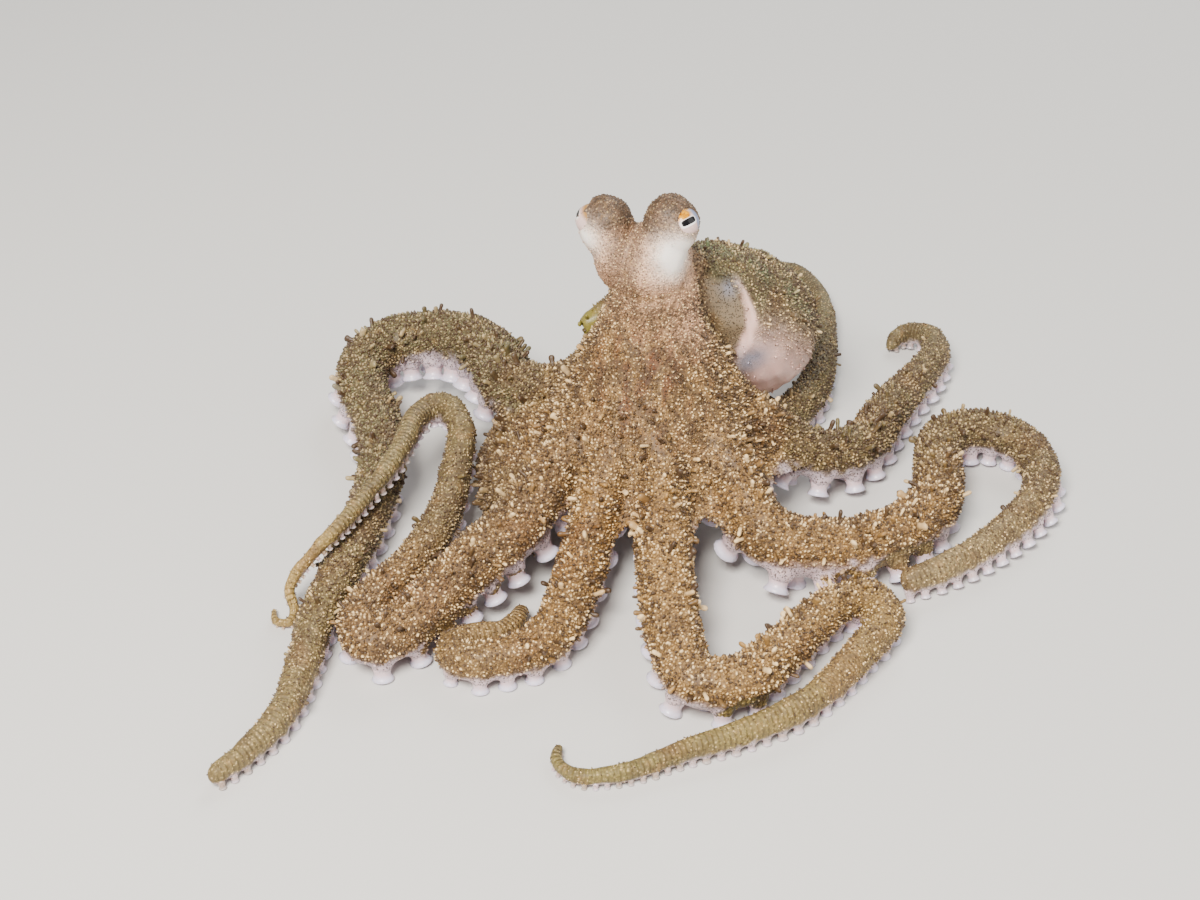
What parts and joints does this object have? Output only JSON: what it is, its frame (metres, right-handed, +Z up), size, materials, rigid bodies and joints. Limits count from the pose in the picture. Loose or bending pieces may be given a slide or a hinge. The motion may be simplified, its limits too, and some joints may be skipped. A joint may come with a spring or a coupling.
{
  "type": "octopus model",
  "caption": "Long-armed sand octopus, life size, head raised on a tent of spread web and arms, with suckered arms that bend, fold and curl over the floor.",
  "frame": {"origin": "on the floor, under the middle of the animal's whole outline seen from above", "axes": "+Z up; the animal faces between -Y and -X, its mantle lies behind its head towards +X and +Y"},
  "size_m": [0.1585, 0.173, 0.0712],
  "materials": {
    "skin": "soft wet skin with fine raised grains, tan and brown mottling",
    "pale_skin": "smooth, pinkish and slightly translucent wet skin",
    "eye": "clear wet gloss over a silvery eyeball with a black bar pupil"
  },
  "bodies": {
    "root": {"arm_left_1_length_1": "skin", "arm_left_1_length_2": "skin", "arm_left_1_length_3": "skin", "arm_left_1_length_4": "skin", "arm_left_1_length_5": "skin", "arm_left_2_length_1": "skin", "arm_left_2_length_2": "skin", "arm_left_2_length_3": "skin", "arm_left_2_length_4": "skin", "arm_left_2_length_5": "skin", "arm_left_2_length_6": "skin", "arm_left_3_length_1": "skin", "arm_left_3_length_2": "skin", "arm_left_3_length_3": "skin", "arm_left_3_length_4": "skin", "arm_left_4_length_1": "skin", "arm_left_4_length_2": "skin", "arm_left_4_length_3": "skin", "arm_left_4_length_4": "skin", "arm_left_4_length_5": "skin", "arm_right_1_length_1": "skin", "arm_right_1_length_2": "skin", "arm_right_1_length_3": "skin", "arm_right_1_length_4": "skin", "arm_right_2_length_1": "skin", "arm_right_2_length_2": "skin", "arm_right_2_length_3": "skin", "arm_right_2_length_4": "skin", "arm_right_2_length_5": "skin", "arm_right_2_length_6": "skin", "arm_right_2_length_7": "skin", "arm_right_3_length_1": "skin", "arm_right_3_length_2": "skin", "arm_right_3_length_3": "skin", "arm_right_3_length_4": "skin", "arm_right_3_length_5": "skin", "arm_right_3_length_6": "skin", "arm_right_4_length_1": "skin", "arm_right_4_length_2": "skin", "arm_right_4_length_3": "skin", "arm_right_4_length_4": "skin", "crown": "skin", "eye_left": "eye", "eye_right": "eye", "eye_stalk_left": "pale_skin", "eye_stalk_right": "pale_skin", "funnel": "skin", "head": "skin", "mantle": "skin", "web_right": "skin"}
  },
  "joints": []
}
